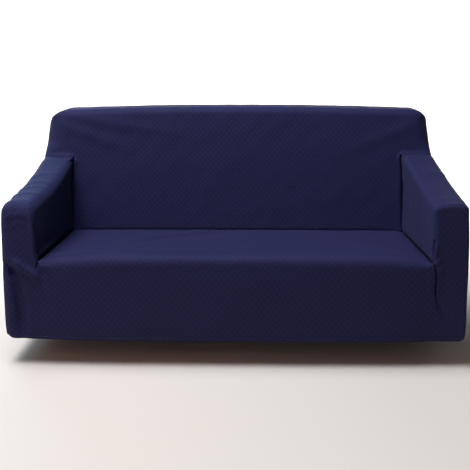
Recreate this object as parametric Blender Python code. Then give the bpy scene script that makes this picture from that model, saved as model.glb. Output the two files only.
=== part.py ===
"""Fitted stretch cover for a two-seat sofa, sewn from seven panels of knitted cloth.

The cover hangs on a sofa that is not built, so it is a hollow skin with an open bottom.
Its shape is worked out in the sofa's own frame: X to the right, Y from the front to the back,
Z up from the floor. The finished panels hang from an empty that puts the origin under the
top of the back, where the sofa carries the cover.

The skin is the outside of three stacked blocks (base, arms, back) on one lattice of stations.
Every lattice point is drawn on to a rounded body, the seams are tucked in, folds are laid on,
and each panel is then cut out along the seam lines and given its thickness inwards.
"""

import bmesh
import bpy
import numpy as np

# Overall sizes, in metres
WIDTH = 1.788
DEPTH = 0.84
HEIGHT = 0.957
HEM_HEIGHT = 0.107
ARM_WIDTH = 0.142

# Seat and arms
SEAT_HEIGHT = 0.415
SEAT_DEPTH = 0.56
SEAT_CROWN = 0.033
SEAT_CROWN_LOSS = 0.85
SEAT_FALL = 0.017
FRONT_BULGE = 0.010
ARM_HEIGHT = 0.635
SHOULDER_HEIGHT = 0.734

# Back
BACK_LEAN = 0.10
BACK_CROWN = 0.017
ARM_DRAW_IN = 0.004
BACK_DRAW_IN = 0.008
BACK_DRAWN_OVER = (0.06, 0.16)
REAR_BOW = 0.006
SHOULDER_REACH = 0.080

# Roundings
SEAT_EDGE_R = 0.030
BACK_EDGE_R = 0.028
REAR_EDGE_R = 0.024
CREVICE_R = 0.010
SHOULDER_R = 0.030

# Cloth, hem and seams
CLOTH = 0.0020
HEM_CLOTH = 0.0036
HEM_PULL = 0.007
HEM_PULL_REACH = 0.018
SEAM_SHIFT = 0.00024
TUCK_DEPTH = 0.022
TUCK_LEAD = 0.060
FRONT_TUCK_LEAD = 0.030
CORNER_TUCK_DEPTH = 0.006
FRONT_TUCK_DEPTH = 0.012
PINCH_SHARE = 0.3
CREASE_REACH = 0.24
PINCH_REACH = 0.06

# Distances of the first stations from a corner, and the pitch between the others
CORNER_STATIONS = (0.010, 0.024, 0.046)
HEM_STATIONS = (0.014, 0.040)
SEAT_PITCH = 0.075
DEPTH_PITCH = 0.046
UPRIGHT_PITCH = 0.042
REAR_STEP = 2

CLOTH_COLOUR = (0.020, 0.024, 0.085, 1.0)
CLOTH_ROUGHNESS = 0.85

HALF_WIDTH = WIDTH / 2
SEAT_HALF = HALF_WIDTH - ARM_WIDTH

# What differs from the left side to the right: the arm's height at its front, middle and rear,
# how far it swells up between its edges, the rounding of its long edges, of its front edge and
# of the back's upper corner, and how far and how widely the hem lifts at the corners.
SIDE_COLUMNS = (
    "arm_front",
    "arm_middle",
    "arm_rear",
    "arm_crown",
    "arm_edge_radius",
    "front_edge_radius",
    "back_corner_radius",
    "hem_lift",
    "hem_lift_reach",
)
LEFT_SIDE = (0.636, 0.663, 0.728, 0.016, 0.032, 0.026, 0.095, 0.020, 0.036)
RIGHT_SIDE = (0.636, 0.681, 0.740, 0.014, 0.018, 0.018, 0.070, 0.012, 0.018)

# The seam down the front: how far out it has run at each drop below the seat
SEAM_COLUMNS = ("drop", "left", "right")
SEAM_PATH = (
    (0.00, 0.000, 0.000),
    (0.02, 0.004, 0.016),
    (0.05, 0.020, 0.020),
    (0.08, 0.042, 0.020),
    (0.12, 0.064, 0.019),
    (0.16, 0.072, 0.028),
    (0.21, 0.071, 0.054),
    (0.31, 0.070, 0.072),
)

# Soft folds laid on the stretched cloth: three points on the body, in the sofa's frame, that the
# fold's line passes through, its half width, and its height (below zero for a trough).
FOLD_COLUMNS = ("name", "start", "middle", "end", "half_width", "height")
FOLDS = (
    ("left_skirt_trough", (-0.842, 0, 0.41), (-0.832, 0, 0.27), (-0.822, 0, 0.10), 0.022, -0.008),
    ("left_pull_high", (-0.765, 0, 0.425), (-0.810, 0, 0.432), (-0.860, 0, 0.452), 0.013, 0.005),
    ("left_pull_low", (-0.760, 0, 0.400), (-0.805, 0, 0.400), (-0.850, 0, 0.392), 0.014, 0.004),
    ("left_front_arc", (-0.870, 0, 0.575), (-0.815, 0, 0.604), (-0.768, 0, 0.580), 0.012, -0.003),
    ("left_arm_ridge_1", (-0.890, 0.09, 0.63), (-0.83, 0.115, 0.636), (-0.765, 0.10, 0.63), 0.021, 0.004),
    ("left_arm_ridge_2", (-0.890, 0.17, 0.63), (-0.83, 0.200, 0.640), (-0.765, 0.19, 0.63), 0.023, 0.005),
    ("left_arm_ridge_3", (-0.890, 0.27, 0.64), (-0.83, 0.300, 0.652), (-0.765, 0.30, 0.64), 0.024, 0.005),
    ("left_arm_ridge_4", (-0.890, 0.37, 0.66), (-0.83, 0.400, 0.672), (-0.765, 0.41, 0.66), 0.026, 0.004),
    ("right_crease_fold", (0.752, 0, 0.33), (0.772, 0, 0.235), (0.825, 0, 0.175), 0.014, 0.005),
    ("right_inner_leaf", (0.764, 0, 0.515), (0.768, 0, 0.470), (0.768, 0, 0.430), 0.012, 0.005),
    ("right_arm_ridge", (0.895, 0.36, 0.69), (0.83, 0.38, 0.69), (0.765, 0.40, 0.68), 0.026, 0.003),
    ("seat_ridge_long", (-0.66, 0.09, 0.42), (-0.34, 0.30, 0.42), (0.02, 0.50, 0.42), 0.030, 0.005),
    ("seat_ridge_short", (-0.50, 0.20, 0.42), (-0.22, 0.38, 0.42), (0.16, 0.53, 0.42), 0.026, 0.004),
    ("seat_ridge_right", (0.70, 0.10, 0.42), (0.46, 0.24, 0.42), (0.20, 0.36, 0.42), 0.034, 0.003),
    ("seat_edge_sag", (-0.30, 0.01, 0.41), (0.0, 0.01, 0.41), (0.34, 0.01, 0.41), 0.040, -0.003),
)

PANELS = (
    "seat_and_skirt",
    "inside_back",
    "outside_back",
    "left_arm",
    "right_arm",
    "left_arm_front",
    "right_arm_front",
)


def clear_scene():
    for obj in list(bpy.data.objects):
        bpy.data.objects.remove(obj, do_unlink=True)


def cloth_material():
    material = bpy.data.materials.new("navy_stretch_cloth")
    material.use_nodes = True
    shader = material.node_tree.nodes["Principled BSDF"]
    shader.inputs["Base Color"].default_value = CLOTH_COLOUR
    shader.inputs["Roughness"].default_value = CLOTH_ROUGHNESS
    shader.inputs["Metallic"].default_value = 0.0
    material.diffuse_color = CLOTH_COLOUR
    return material


# The rounded body under the cloth. A function is negative inside, as a distance is.


def eased(share):
    """Nought to one, with a level start and end."""
    share = np.clip(share, 0, 1)
    return share**2 * (3 - 2 * share)


def round_max(a, b, radius):
    """Where both shapes are, with the edge between them rounded."""
    corner = np.hypot(np.maximum(a + radius, 0), np.maximum(b + radius, 0))
    return np.minimum(np.maximum(a, b), -radius) + corner


def round_min(a, b, radius):
    """Where either shape is, with the crevice between them filled."""
    crevice = np.hypot(np.maximum(radius - a, 0), np.maximum(radius - b, 0))
    return np.maximum(np.minimum(a, b), radius) - crevice


def by_side(name, x):
    """A value of the side's table, which passes from the left one to the right across the seat."""
    column = SIDE_COLUMNS.index(name)
    share = np.clip((x + SEAT_HALF) / (2 * SEAT_HALF), 0, 1)
    return LEFT_SIDE[column] + (RIGHT_SIDE[column] - LEFT_SIDE[column]) * share


def arm_top(x, y):
    """Height of the arm, on the curve through its front, middle and rear heights."""
    front, middle, rear = (by_side(name, x) for name in ("arm_front", "arm_middle", "arm_rear"))
    share = np.clip(y / SEAT_DEPTH, 0, 1)
    sag = 4 * middle - 2 * front - 2 * rear
    across = np.clip((np.abs(x) - SEAT_HALF) / ARM_WIDTH, 0, 1)
    crown = 4 * by_side("arm_crown", x) * across * (1 - across) * (1 - share)
    return front + (rear - front) * share + sag * share * (1 - share) + crown


def seat_top(x, y):
    """Height of the seat: full over its front edge and flatter towards the back and the arms."""
    across = 1 - np.clip(np.abs(x) / SEAT_HALF, 0, 1) ** 4
    share = np.clip(y / SEAT_DEPTH, 0, 1)
    return SEAT_HEIGHT + SEAT_CROWN * across * (1 - SEAT_CROWN_LOSS * share) - SEAT_FALL * share


def back_front(z):
    """How far back the leaning face of the back stands at a height."""
    share = (z - SEAT_HEIGHT) / (HEIGHT - SEAT_HEIGHT)
    return SEAT_DEPTH + BACK_LEAN * np.minimum(share, 1)


def back_top(x):
    return HEIGHT - BACK_CROWN * (np.abs(x) / HALF_WIDTH) ** 2


def half_width(y, z):
    """Half the cover's width, drawn in a little up the arms and the back, and at the elastic hem."""
    climb = (z - SEAT_HEIGHT) / (ARM_HEIGHT - SEAT_HEIGHT)
    low, high = BACK_DRAWN_OVER
    rise = (z - SHOULDER_HEIGHT - low) / (high - low)
    draw_in = ARM_DRAW_IN * eased(climb) * (1 - y / DEPTH) + BACK_DRAW_IN * eased(rise)
    return HALF_WIDTH - draw_in - hem_pull(z)


def hem_pull(z):
    return HEM_PULL * np.exp(-np.maximum(z - HEM_HEIGHT, 0) / HEM_PULL_REACH)


def body(points):
    """Signed distance, near enough, from the rounded sofa that the cloth is stretched over."""
    x, y, z = points.T
    pull = hem_pull(z)
    inner = SEAT_HALF - np.abs(x)
    side = np.abs(x) - half_width(y, z)
    front = pull - y - FRONT_BULGE * (1 - np.clip(np.abs(x) / SEAT_HALF, 0, 1) ** 6)
    rear = y - DEPTH + pull + REAR_BOW * (x / HALF_WIDTH) ** 2

    corner_share = eased(1 - inner / SEAT_EDGE_R)
    front_radius = SEAT_EDGE_R + (by_side("front_edge_radius", x) - SEAT_EDGE_R) * corner_share
    arm_radius = by_side("arm_edge_radius", x)
    corner_radius = by_side("back_corner_radius", x)
    side_radius = arm_radius + (corner_radius - arm_radius) * eased((z - SHOULDER_HEIGHT) / SHOULDER_REACH)

    arm = round_max(z - arm_top(x, y), inner, arm_radius)
    base = round_min(arm, z - seat_top(x, y), CREVICE_R)
    base = round_max(base, front, front_radius)
    back = round_max(z - back_top(x), back_front(z) - y, BACK_EDGE_R)
    shoulder_share = eased((z - arm_top(x, y) + 0.06) / 0.05)
    whole = round_min(base, back, CREVICE_R + (SHOULDER_R - CREVICE_R) * shoulder_share)
    whole = round_max(whole, side, side_radius)
    return round_max(whole, rear, REAR_EDGE_R)


def outward(points, step=1e-4):
    """Unit direction in which the body's distance grows."""
    slope = np.empty_like(points)
    for axis in range(3):
        offset = np.zeros(3)
        offset[axis] = step
        slope[:, axis] = (body(points + offset) - body(points - offset)) / (2 * step)
    return slope / np.linalg.norm(slope, axis=1, keepdims=True)


def drawn_on(points, rounds=12):
    """The points moved straight on to the body's surface."""
    for _ in range(rounds):
        points = points - body(points)[:, None] * outward(points)
    return points


# The lattice. Stations close up near corners, where the cloth turns.


def stations(start, end, near_start, near_end, pitch):
    first = start + np.array((0, *near_start))
    last = end - np.array((0, *near_end))[::-1]
    steps = max(1, round((last[0] - first[-1]) / pitch))
    middle = np.linspace(first[-1], last[0], steps + 1)[1:-1]
    return np.concatenate([first, middle, last])


def arm_stations(start, end):
    return stations(start, end, CORNER_STATIONS, CORNER_STATIONS, ARM_WIDTH)


def joined(*parts):
    """Lists of stations that share their end values, made one."""
    return np.concatenate([parts[0], *[part[1:] for part in parts[1:]]])


ARM_X = arm_stations(-HALF_WIDTH, -SEAT_HALF)
SEAT_X = stations(-SEAT_HALF, SEAT_HALF, CORNER_STATIONS, CORNER_STATIONS, SEAT_PITCH)
X = joined(ARM_X, SEAT_X, -ARM_X[::-1])
SEAT_Y = stations(0, SEAT_DEPTH, CORNER_STATIONS, CORNER_STATIONS[:2], DEPTH_PITCH)
BACK_Y = stations(SEAT_DEPTH, DEPTH, CORNER_STATIONS[1:], CORNER_STATIONS, DEPTH_PITCH)
Y = joined(SEAT_Y, BACK_Y)
SKIRT_Z = stations(HEM_HEIGHT, SEAT_HEIGHT, HEM_STATIONS, CORNER_STATIONS, UPRIGHT_PITCH)
ARM_Z = stations(SEAT_HEIGHT, ARM_HEIGHT, CORNER_STATIONS[:2], CORNER_STATIONS, UPRIGHT_PITCH)
BACK_Z = stations(SHOULDER_HEIGHT, HEIGHT, CORNER_STATIONS[:2], CORNER_STATIONS, UPRIGHT_PITCH)

ARM_COLUMNS = len(ARM_X) - 1
SEAT_COLUMNS = len(SEAT_X) - 1
COLUMNS = len(X) - 1
SEAT_ROWS = len(SEAT_Y) - 1
ROWS = len(Y) - 1
SKIRT_LEVELS = len(SKIRT_Z) - 1
ARM_LEVELS = SKIRT_LEVELS + len(ARM_Z) - 1
LEVELS = ARM_LEVELS + len(BACK_Z) - 1
RIGHT_ARM = ARM_COLUMNS + SEAT_COLUMNS


def front_seam(x, z):
    """How far out from the arm's inner side the seam down the front has run at a height."""
    path = dict(zip(SEAM_COLUMNS, np.transpose(SEAM_PATH)))
    left, right = (np.interp(SEAT_HEIGHT - z, path["drop"], path[hand]) for hand in ("left", "right"))
    return left + (right - left) * np.clip((x + SEAT_HALF) / (2 * SEAT_HALF), 0, 1)


def hem_line(x, y):
    """Height of the hem, which the elastic lifts a little at the four corners."""
    from_corner = HALF_WIDTH - abs(x) + min(y, DEPTH - y)
    return HEM_HEIGHT + by_side("hem_lift", x) * np.exp(-from_corner / by_side("hem_lift_reach", x))


def level_height(k, x, y):
    """Height of a lattice level: the levels follow the seat's and the arm's slope."""
    seat = seat_top(x, y)
    if k <= SKIRT_LEVELS:
        hem = hem_line(x, y)
        share = (SKIRT_Z[k] - HEM_HEIGHT) / (SEAT_HEIGHT - HEM_HEIGHT)
        return hem + (seat - hem) * share
    arm = arm_top(x, y)
    if k <= ARM_LEVELS:
        share = (ARM_Z[k - SKIRT_LEVELS] - SEAT_HEIGHT) / (ARM_HEIGHT - SEAT_HEIGHT)
        return seat + (arm - seat) * share
    share = (BACK_Z[k - ARM_LEVELS] - SHOULDER_HEIGHT) / (HEIGHT - SHOULDER_HEIGHT)
    return arm + (HEIGHT - arm) * share


def lattice_point(i, j, k):
    """A point of the sharp-edged blocks, before it is drawn on to the body."""
    x, y = X[i], Y[j]
    z = level_height(k, x, y)
    if j >= SEAT_ROWS and k >= SKIRT_LEVELS:
        share = (y - SEAT_DEPTH) / (DEPTH - SEAT_DEPTH)
        y = back_front(z) * (1 - share) + DEPTH * share
    inside = SEAT_HALF
    if j == 0 and k < SKIRT_LEVELS:
        inside += front_seam(x, z)
    if abs(x) <= SEAT_HALF:
        return x * inside / SEAT_HALF, y, z
    along_arm = (abs(x) - SEAT_HALF) / ARM_WIDTH
    return np.sign(x) * (inside + along_arm * (half_width(y, z) - inside)), y, z


def is_filled(i, j, k):
    """Whether a lattice cell is inside the base, an arm or the back."""
    if not (0 <= i < COLUMNS and 0 <= j < ROWS and 0 <= k < LEVELS):
        return False
    in_arm = (i < ARM_COLUMNS or i >= RIGHT_ARM) and k < ARM_LEVELS
    return k < SKIRT_LEVELS or in_arm or j >= SEAT_ROWS


def panel_of(side, i, j, k):
    """The panel that a face of the blocks is cut from: side is the way that it faces."""
    hand = "left" if i < ARM_COLUMNS else "right"
    if side == "rear":
        return "outside_back"
    if side == "front" and j == 0:
        return "seat_and_skirt" if ARM_COLUMNS <= i < RIGHT_ARM else hand + "_arm_front"
    if side == "front" or k >= ARM_LEVELS:
        return "inside_back"
    if side == "top":
        return "seat_and_skirt" if ARM_COLUMNS <= i < RIGHT_ARM else hand + "_arm"
    return hand + "_arm"


FACINGS = (
    ("right", (1, 0, 0), ((1, 0, 0), (1, 1, 0), (1, 1, 1), (1, 0, 1))),
    ("left", (-1, 0, 0), ((0, 0, 0), (0, 0, 1), (0, 1, 1), (0, 1, 0))),
    ("rear", (0, 1, 0), ((0, 1, 0), (0, 1, 1), (1, 1, 1), (1, 1, 0))),
    ("front", (0, -1, 0), ((0, 0, 0), (1, 0, 0), (1, 0, 1), (0, 0, 1))),
    ("top", (0, 0, 1), ((0, 0, 1), (1, 0, 1), (1, 1, 1), (0, 1, 1))),
)


def skin_faces():
    """Each outside face of the blocks as (panel, its four lattice corners). The bottom stays open."""
    faces = []
    for i, j, k in np.ndindex(COLUMNS, ROWS, LEVELS):
        if not is_filled(i, j, k):
            continue
        for side, (di, dj, dk), corners in FACINGS:
            if not is_filled(i + di, j + dj, k + dk):
                ring = [(i + a, j + b, k + c) for a, b, c in corners]
                faces.append((panel_of(side, i, j, k), ring))
    return faces


def rear_faces():
    """The plain outside back in wider faces, whose corners are still lattice points."""
    ends = len(CORNER_STATIONS)
    across = [i for i in range(COLUMNS + 1) if i % REAR_STEP == 0 or min(i, COLUMNS - i) <= ends]
    faces = []
    for i, next_i in zip(across, across[1:]):
        for k in range(LEVELS):
            ring = [(i, ROWS, k), (i, ROWS, k + 1), (next_i, ROWS, k + 1), (next_i, ROWS, k)]
            faces.append(("outside_back", ring))
    return faces


# Tucks and folds


def tuck_depth(i, j, k):
    """How deep the cloth is tucked in where panels meet in a crevice, or down the front."""
    on_inner_side = i in (ARM_COLUMNS, RIGHT_ARM)
    over_seat = ARM_COLUMNS <= i <= RIGHT_ARM
    if on_inner_side and j == 0 and k <= SKIRT_LEVELS:
        down = SEAT_HEIGHT - SKIRT_Z[k]
        reach = CREASE_REACH if i == RIGHT_ARM else PINCH_REACH
        deepening = PINCH_SHARE + (1 - PINCH_SHARE) * eased(down / FRONT_TUCK_LEAD)
        return FRONT_TUCK_DEPTH * deepening * max(0, 1 - down / reach)
    if k == SKIRT_LEVELS and over_seat and j < SEAT_ROWS and on_inner_side:
        return tucked(min(Y[j], SEAT_DEPTH - Y[j]))
    if k == SKIRT_LEVELS and over_seat and j == SEAT_ROWS:
        return tucked(SEAT_HALF - abs(X[i]))
    if on_inner_side and j == SEAT_ROWS and SKIRT_LEVELS < k < ARM_LEVELS:
        height = ARM_Z[k - SKIRT_LEVELS]
        return tucked(min(height - SEAT_HEIGHT, ARM_HEIGHT - height))
    if j == SEAT_ROWS and k == ARM_LEVELS and not ARM_COLUMNS < i < RIGHT_ARM:
        return CORNER_TUCK_DEPTH * eased((HALF_WIDTH - abs(X[i])) / FRONT_TUCK_LEAD)
    return 0.0


def tucked(from_corner):
    """Depth of a tuck at a distance from the corner where three panels meet."""
    return CORNER_TUCK_DEPTH + (TUCK_DEPTH - CORNER_TUCK_DEPTH) * eased(from_corner / TUCK_LEAD)


def on_curve(start, middle, end, count=24):
    """Points of the smooth curve that passes through three points."""
    t = np.linspace(0, 1, count)[:, None]
    start, middle, end = (np.array(p, float) for p in (start, middle, end))
    handle = 2 * middle - (start + end) / 2
    return (1 - t) ** 2 * start + 2 * t * (1 - t) * handle + t**2 * end


def fold_height(points):
    """How far the folds lift the cloth off the body, or let it sink, at each point."""
    lift = np.zeros(len(points))
    for row in FOLDS:
        fold = dict(zip(FOLD_COLUMNS, row))
        line = on_curve(fold["start"], fold["middle"], fold["end"])
        gaps = np.linalg.norm(points[:, None] - line[None], axis=2)
        nearest = gaps.argmin(axis=1)
        along = nearest / (len(line) - 1)
        taper = np.sin(np.pi * np.clip(along, 0, 1)) ** 0.5
        near = np.exp(-((gaps.min(axis=1) / fold["half_width"]) ** 2))
        lift += fold["height"] * near * taper
    return lift


# Panels


def vertex_normals(points, faces):
    """Shared normals of the whole skin, so that panels meeting at a seam agree on them."""
    normals = np.zeros_like(points)
    for a, b, c, d in faces:
        face_normal = np.cross(points[c] - points[a], points[d] - points[b])
        face_normal /= np.linalg.norm(face_normal)
        normals[[a, b, c, d]] += face_normal
    return normals / np.linalg.norm(normals, axis=1, keepdims=True)


def triangles(rings, places):
    """Each four-sided face split along its shorter diagonal."""
    split = []
    for a, b, c, d in rings:
        if np.linalg.norm(places[a] - places[c]) <= np.linalg.norm(places[b] - places[d]):
            split += [(a, b, c), (a, c, d)]
        else:
            split += [(a, b, d), (b, c, d)]
    return split


def make_panel(name, rings, places, normals, material, parent):
    """One panel: its outer face, its inner face a cloth's thickness below, and its edges."""
    corners = sorted({corner for ring in rings for corner in ring})
    index = {corner: n for n, corner in enumerate(corners)}
    outer = np.array([places[corner] for corner in corners])
    normal = np.array([normals[corner] for corner in corners])

    cut = triangles(rings, places)
    edges = {edge for corner_set in cut for edge in zip(corner_set, corner_set[1:] + corner_set[:1])}
    border = sorted(edge for edge in edges if edge[::-1] not in edges)

    inwards = np.zeros_like(outer)
    for first, second in border:
        if first[2] == 0 and second[2] == 0:
            continue
        a, b = index[first], index[second]
        for end in (a, b):
            across = np.cross(normal[end], outer[b] - outer[a])
            inwards[end] += across / np.linalg.norm(across)
    length = np.maximum(np.linalg.norm(inwards, axis=1, keepdims=True), 1e-9)
    outer = outer + SEAM_SHIFT * inwards / length

    thickness = np.array([HEM_CLOTH if corner[2] <= 1 else CLOTH for corner in corners])[:, None]
    inner = outer - normal * thickness

    mesh = bpy.data.meshes.new(name)
    bm = bmesh.new()
    outside = dict(zip(corners, [bm.verts.new(point) for point in outer]))
    inside = dict(zip(corners, [bm.verts.new(point) for point in inner]))
    for corner_set in cut:
        bm.faces.new([outside[corner] for corner in corner_set])
        bm.faces.new([inside[corner] for corner in reversed(corner_set)])
    for first, second in border:
        bm.faces.new([outside[second], outside[first], inside[max(first, second)]])
        bm.faces.new([inside[first], inside[second], outside[min(first, second)]])
    bm.to_mesh(mesh)
    bm.free()
    mesh.materials.append(material)
    mesh.shade_smooth()

    panel = bpy.data.objects.new(name, mesh)
    bpy.context.scene.collection.objects.link(panel)
    panel.parent = parent
    return panel


def main():
    clear_scene()
    faces = skin_faces()
    corners = sorted({corner for _, ring in faces for corner in ring})
    index = {corner: n for n, corner in enumerate(corners)}

    sharp = np.array([lattice_point(*corner) for corner in corners])
    points = drawn_on(sharp)
    ways = outward(points)
    depths = np.array([tuck_depth(*corner) for corner in corners])
    points = points + (fold_height(points) - depths)[:, None] * ways

    rings = [[index[corner] for corner in ring] for _, ring in faces]
    normals = dict(zip(corners, vertex_normals(points, rings)))
    places = dict(zip(corners, points))

    sofa_frame = bpy.data.objects.new("sofa_frame", None)
    bpy.context.scene.collection.objects.link(sofa_frame)
    carried_at_y = (SEAT_DEPTH + BACK_LEAN + DEPTH) / 2
    sofa_frame.location = (0, -carried_at_y, CLOTH - HEIGHT)

    material = cloth_material()
    cut = [face for face in faces if face[0] != "outside_back"] + rear_faces()
    for name in PANELS:
        own = [ring for panel, ring in cut if panel == name]
        make_panel(name, own, places, normals, material, sofa_frame)


main()
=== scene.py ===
import math

import bpy
import numpy as np
from mathutils import Euler, Matrix, Vector


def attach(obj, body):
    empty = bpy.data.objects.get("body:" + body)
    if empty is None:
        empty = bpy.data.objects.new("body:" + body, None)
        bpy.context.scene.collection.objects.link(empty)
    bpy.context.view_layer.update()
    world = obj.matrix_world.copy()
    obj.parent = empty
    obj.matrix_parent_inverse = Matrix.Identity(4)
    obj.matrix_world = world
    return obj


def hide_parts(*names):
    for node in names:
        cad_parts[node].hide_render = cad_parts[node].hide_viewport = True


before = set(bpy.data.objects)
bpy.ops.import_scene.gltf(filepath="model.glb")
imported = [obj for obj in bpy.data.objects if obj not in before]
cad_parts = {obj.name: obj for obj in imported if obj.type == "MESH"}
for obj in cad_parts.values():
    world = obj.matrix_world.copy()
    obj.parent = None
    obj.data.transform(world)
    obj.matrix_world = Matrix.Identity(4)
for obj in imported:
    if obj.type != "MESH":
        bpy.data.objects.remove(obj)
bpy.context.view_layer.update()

print("frame loaded:", len(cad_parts), "panels")

# A fitted stretch cover, sewn from seven panels, as it sits on the sofa it was pulled over.
# Shapes are worked out in the sofa's own frame, in metres: x to the right, y from the front
# to the back, z up from the floor. sofaToFrame moves the finished panels into the shared frame.

sofa = {
    "width": 1.788,
    "depth": 0.84,
    "height": 0.957,
    "hemHeight": 0.107,
    "armWidth": 0.142,
    "armHeight": 0.635,
    "seatHeight": 0.415,
    "seatDepth": 0.56,
    "seatCrown": 0.033,
    "seatCrownLoss": (0.75, 0.85),  # the shares of it lost beside the arms and at the back
    "crownPower": 6,  # how late the seat and its front curve away towards the arms
    "seatFall": 0.017,
    "frontBulge": 0.010,
    "shoulderHeight": 0.734,
    "shoulderReach": 0.080,
    "backLean": 0.10,
    "backCrown": 0.017,
    "backDrawIn": 0.008,
    "backDrawnOver": (0.06, 0.16),  # heights above the shoulders
    "rearBow": 0.006,
    "leanReach": 0.050,  # how far below an arm's top its front starts to lean back
    "leanSoftness": 0.01,
    "innerDrawnOver": (0.005, 0.035),  # heights above the seat
    "innerDrawnDepth": 0.35,
    "innerEdgeReach": 0.03,
    "topEdgeOver": (0.02, 0.09),  # depths below the arm's top
    "shoulderOver": (-0.06, -0.01),  # heights above the arm's top
    "seatEdgeRadius": 0.038,
    "backEdgeRadius": 0.028,
    "rearEdgeRadius": 0.024,
    "creviceRadius": 0.010,
    "shoulderRadius": 0.030,
}

# What differs between the two ends, as the cover was pulled over by hand
leftSide = {
    "armFront": 0.636,
    "armMiddle": 0.663,
    "armRear": 0.728,
    "armCrown": 0.016,
    "armEdgeRadius": 0.032,
    "frontEdgeRadius": 0.015,
    "frontTopRadius": 0.026,
    "innerEdgeRadius": 0.010,
    "frontLean": 0.38,  # how far the top of the arm's front leans back, for each metre up
    "innerDrawIn": 0.009,  # how far the cloth draws the arm's inner face in
    "armDrawIn": 0.004,  # and its outer face, at the top
    "backCornerRadius": 0.095,
    # the seam down the front: depth below the seat, and how far outwards it has run by then
    "seamPath": ((0, 0), (0.03, 0.008), (0.07, 0.035), (0.11, 0.062), (0.15, 0.072), (0.31, 0.070)),
    "hemLift": 0.020,  # how far the hem climbs at this end's corners
    "hemLiftReach": 0.036,
}
rightSide = {
    "armFront": 0.636,
    "armMiddle": 0.681,
    "armRear": 0.740,
    "armCrown": 0.014,
    "armEdgeRadius": 0.018,
    "frontEdgeRadius": 0.020,
    "frontTopRadius": 0.016,
    "innerEdgeRadius": 0.020,
    "frontLean": 0,
    "innerDrawIn": 0,
    "armDrawIn": 0.008,
    "backCornerRadius": 0.070,
    "seamPath": (
        (-0.013, 0.002), (-0.002, 0.008), (0.02, 0.016), (0.05, 0.020),
        (0.12, 0.019), (0.16, 0.028), (0.21, 0.054), (0.31, 0.072),
    ),
    "hemLift": 0.012,
    "hemLiftReach": 0.018,
}
clothThickness = 0.002
halfWidth = sofa["width"] / 2
seatHalf = halfWidth - sofa["armWidth"]
carriedAtY = (sofa["seatDepth"] + sofa["backLean"] + sofa["depth"]) / 2
sofaToFrame = np.array((0, -carriedAtY, clothThickness - sofa["height"]))


# The rounded body under the cloth: each function is negative inside, as a distance is.


def eased(share):
    share = np.clip(share, 0, 1)
    return share**2 * (3 - 2 * share)


def blend(first, second, share):
    return first + (second - first) * share


def within(value, limits):
    low, high = limits
    return (value - low) / (high - low)


def roundMax(a, b, radius):
    corner = np.hypot(np.maximum(a + radius, 0), np.maximum(b + radius, 0))
    return np.minimum(np.maximum(a, b), -radius) + corner


def roundMin(a, b, radius):
    crevice = np.hypot(np.maximum(radius - a, 0), np.maximum(radius - b, 0))
    return np.maximum(np.minimum(a, b), radius) - crevice


def bySide(name, x):
    share = np.clip((x + seatHalf) / (2 * seatHalf), 0, 1)
    return leftSide[name] + (rightSide[name] - leftSide[name]) * share


def armTop(x, y):
    front, middle, rear = (bySide(name, x) for name in ("armFront", "armMiddle", "armRear"))
    share = np.clip(y / sofa["seatDepth"], 0, 1)
    sag = 4 * middle - 2 * front - 2 * rear
    across = np.clip((np.abs(x) - seatHalf) / sofa["armWidth"], 0, 1)
    crown = 4 * bySide("armCrown", x) * across * (1 - across) * (1 - share)
    return front + (rear - front) * share + sag * share * (1 - share) + crown


def towardsArm(x):
    return np.clip(np.abs(x) / seatHalf, 0, 1) ** sofa["crownPower"]


def seatTop(x, y):
    byArms, byBack = sofa["seatCrownLoss"]
    across = 1 - byArms * towardsArm(x)
    share = np.clip(y / sofa["seatDepth"], 0, 1)
    crown = sofa["seatCrown"] * across * (1 - byBack * share)
    return sofa["seatHeight"] + crown - sofa["seatFall"] * share


def backFront(z):
    share = (z - sofa["seatHeight"]) / (sofa["height"] - sofa["seatHeight"])
    return sofa["seatDepth"] + sofa["backLean"] * np.minimum(share, 1)


def backTop(x):
    return sofa["height"] - sofa["backCrown"] * (np.abs(x) / halfWidth) ** 2


hem = {
    "pull": 0.007,  # how far the elastic draws the edge in
    "pullReach": 0.018,
    "rollRadius": 0.0045,  # the edge rolls under the sofa's base
    "rollTurn": 150,
    "rollLevels": 5,
    "bandHeight": 0.012,
    "bandThickness": 0.0032,
    "bandFade": 0.004,
}


def hemPull(z):
    return hem["pull"] * np.exp(-np.maximum(z - sofa["hemHeight"], 0) / hem["pullReach"])


def halfWidthAt(x, y, z):
    climb = (z - sofa["seatHeight"]) / (sofa["armHeight"] - sofa["seatHeight"])
    rise = within(z - sofa["shoulderHeight"], sofa["backDrawnOver"])
    front = bySide("armDrawIn", x) * eased(climb) * (1 - y / sofa["depth"])
    return halfWidth - front - sofa["backDrawIn"] * eased(rise) - hemPull(z)


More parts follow.
